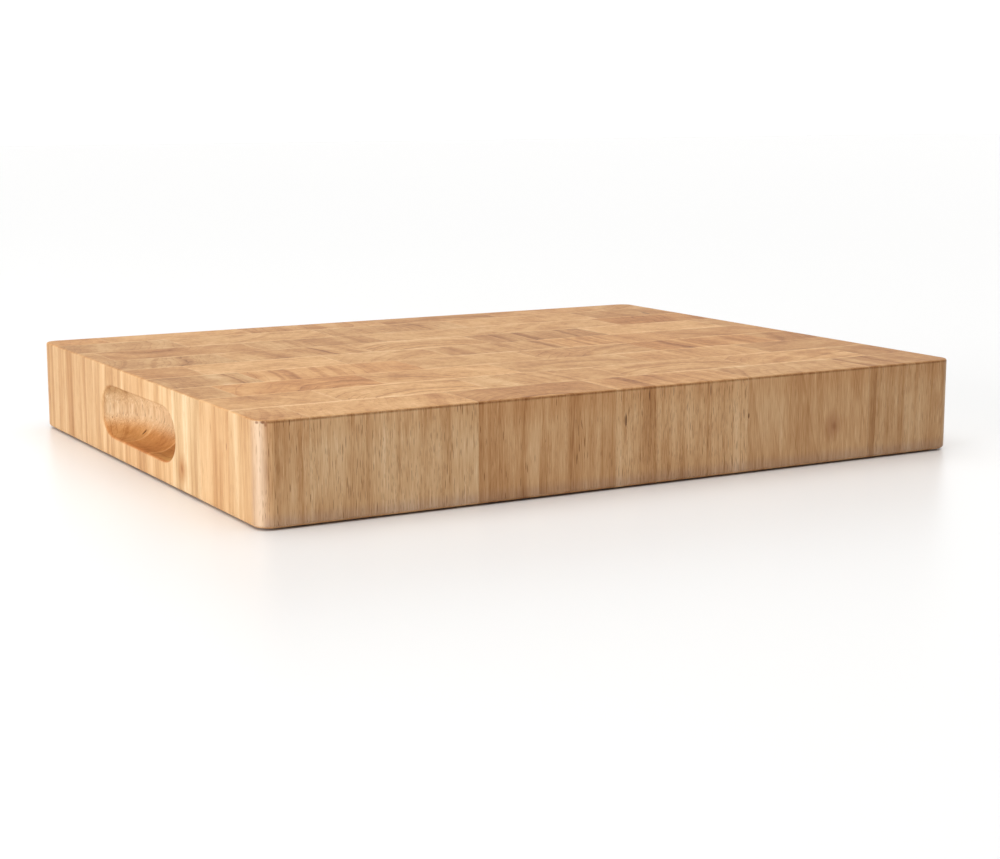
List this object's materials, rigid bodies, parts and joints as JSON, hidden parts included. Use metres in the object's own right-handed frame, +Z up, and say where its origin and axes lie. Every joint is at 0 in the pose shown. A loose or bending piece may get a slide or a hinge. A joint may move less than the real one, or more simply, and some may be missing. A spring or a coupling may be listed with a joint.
{
  "type": "cutting board",
  "caption": "Thick end-grain wooden cutting board: staggered rows of upright glued blocks, machined with rounded corners and a routed finger grip in each short side.",
  "frame": {"origin": "centre of the flat underside", "axes": "+X along the long sides, +Y from the front row to the back row, +Z up, out of the cutting surface"},
  "size_m": [0.38, 0.3, 0.046],
  "materials": {
    "rubberwood_pale": "sanded and oiled, satin, pale straw",
    "rubberwood_medium": "sanded and oiled, satin, honey",
    "rubberwood_dark": "sanded and oiled, satin, reddish honey",
    "glue": "cured wood glue, a hairline"
  },
  "bodies": {
    "root": {"row_1_block_1": "rubberwood_medium", "row_1_block_2": "rubberwood_dark", "row_1_block_3": "rubberwood_medium", "row_1_block_4": "rubberwood_dark", "row_1_block_5": "rubberwood_pale", "row_1_block_6": "rubberwood_medium", "row_2_block_1": "rubberwood_medium", "row_2_block_2": "rubberwood_pale", "row_2_block_3": "rubberwood_medium", "row_2_block_4": "rubberwood_pale", "row_2_block_5": "rubberwood_medium", "row_2_block_6": "rubberwood_medium", "row_3_block_1": "rubberwood_dark", "row_3_block_2": "rubberwood_medium", "row_3_block_3": "rubberwood_pale", "row_3_block_4": "rubberwood_medium", "row_3_block_5": "rubberwood_pale", "row_3_block_6": "rubberwood_medium", "row_4_block_1": "rubberwood_medium", "row_4_block_2": "rubberwood_medium", "row_4_block_3": "rubberwood_pale", "row_4_block_4": "rubberwood_medium", "row_4_block_5": "rubberwood_medium", "row_4_block_6": "rubberwood_dark", "row_5_block_1": "rubberwood_medium", "row_5_block_2": "rubberwood_pale", "row_5_block_3": "rubberwood_medium", "row_5_block_4": "rubberwood_medium", "row_5_block_5": "rubberwood_dark", "row_5_block_6": "rubberwood_medium", "row_6_block_1": "rubberwood_medium", "row_6_block_2": "rubberwood_medium", "row_6_block_3": "rubberwood_pale", "row_6_block_4": "rubberwood_medium", "row_6_block_5": "rubberwood_pale", "row_6_block_6": "rubberwood_medium", "row_7_block_1": "rubberwood_medium", "row_7_block_2": "rubberwood_dark", "row_7_block_3": "rubberwood_medium", "row_7_block_4": "rubberwood_pale", "row_7_block_5": "rubberwood_medium", "row_7_block_6": "rubberwood_medium", "row_8_block_1": "rubberwood_medium", "row_8_block_2": "rubberwood_pale", "row_8_block_3": "rubberwood_medium", "row_8_block_4": "rubberwood_medium", "row_8_block_5": "rubberwood_pale", "row_9_block_1": "rubberwood_medium", "row_9_block_2": "rubberwood_medium", "row_9_block_3": "rubberwood_pale", "row_9_block_4": "rubberwood_medium", "row_9_block_5": "rubberwood_medium", "row_9_block_6": "rubberwood_pale", "glue_between_rows": "glue", "glue_between_blocks": "glue"}
  },
  "joints": []
}
